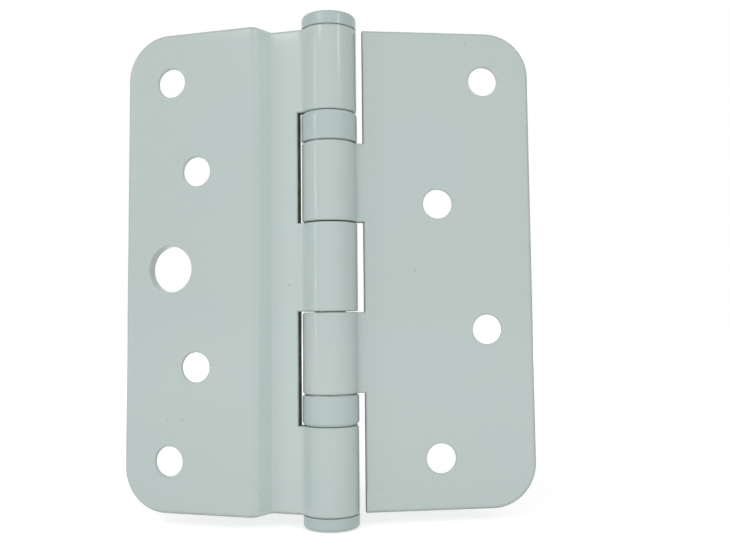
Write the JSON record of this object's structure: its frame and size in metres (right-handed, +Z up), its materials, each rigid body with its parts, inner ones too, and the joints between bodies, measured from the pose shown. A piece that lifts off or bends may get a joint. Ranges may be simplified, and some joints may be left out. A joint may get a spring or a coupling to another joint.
{
  "type": "ball bearing butt hinge",
  "caption": "Ball bearing butt hinge with a cranked frame leaf, a flat door leaf, rounded corners and capped barrel, painted pale grey-green.",
  "frame": {"origin": "middle of the frame leaf's locating hole, on the face that lies against the frame; the outer pair of screw holes is centred on the same point", "axes": "+Z up along the pin; -Y out of the frame leaf's mounting face; the frame leaf reaches to -X and the barrel is on its +X side"},
  "size_m": [0.0837, 0.0262, 0.1072],
  "materials": {
    "painted_leaf": "glossy pale grey-green powder coat",
    "painted_cap": "glossy pale grey-green powder coat",
    "painted_cup": "glossy pale grey-green powder coat",
    "steel_pin": "drawn and greased",
    "race_steel": "ground and greased",
    "ball_steel": "polished",
    "brass_cage": "stamped"
  },
  "bodies": {
    "frame_side": {"frame_leaf": "painted_leaf", "hinge_pin": "steel_pin", "top_cap": "painted_cap", "bottom_cap": "painted_cap", "upper_bearing_cup": "painted_cup", "lower_bearing_cup": "painted_cup", "upper_fixed_race": "race_steel", "lower_fixed_race": "race_steel"},
    "door_side": {"door_leaf": "painted_leaf", "upper_turning_race": "race_steel", "lower_turning_race": "race_steel"},
    "upper_balls": {"upper_ball_cage": "brass_cage", "upper_ball_01": "ball_steel", "upper_ball_02": "ball_steel", "upper_ball_03": "ball_steel", "upper_ball_04": "ball_steel", "upper_ball_05": "ball_steel", "upper_ball_06": "ball_steel", "upper_ball_07": "ball_steel", "upper_ball_08": "ball_steel", "upper_ball_09": "ball_steel", "upper_ball_10": "ball_steel", "upper_ball_11": "ball_steel", "upper_ball_12": "ball_steel"},
    "lower_balls": {"lower_ball_cage": "brass_cage", "lower_ball_01": "ball_steel", "lower_ball_02": "ball_steel", "lower_ball_03": "ball_steel", "lower_ball_04": "ball_steel", "lower_ball_05": "ball_steel", "lower_ball_06": "ball_steel", "lower_ball_07": "ball_steel", "lower_ball_08": "ball_steel", "lower_ball_09": "ball_steel", "lower_ball_10": "ball_steel", "lower_ball_11": "ball_steel", "lower_ball_12": "ball_steel"}
  },
  "joints": [
    {"name": "door_swing", "type": "hinge", "parent": "frame_side", "child": "door_side", "pos_m": [0.0329, 0.0086, 0], "axis": [0, 0, 1], "range_deg": [-157, 157]},
    {"name": "upper_ball_turn", "type": "hinge", "parent": "frame_side", "child": "upper_balls", "pos_m": [0.0329, 0.0086, 0], "axis": [0, 0, 1], "range_deg": [-79, 79]},
    {"name": "lower_ball_turn", "type": "hinge", "parent": "frame_side", "child": "lower_balls", "pos_m": [0.0329, 0.0086, 0], "axis": [0, 0, 1], "range_deg": [-79, 79]}
  ],
  "couplings": [
    {"joint": "upper_ball_turn", "follows": "door_swing", "ratio": 0.5},
    {"joint": "lower_ball_turn", "follows": "door_swing", "ratio": 0.5}
  ]
}
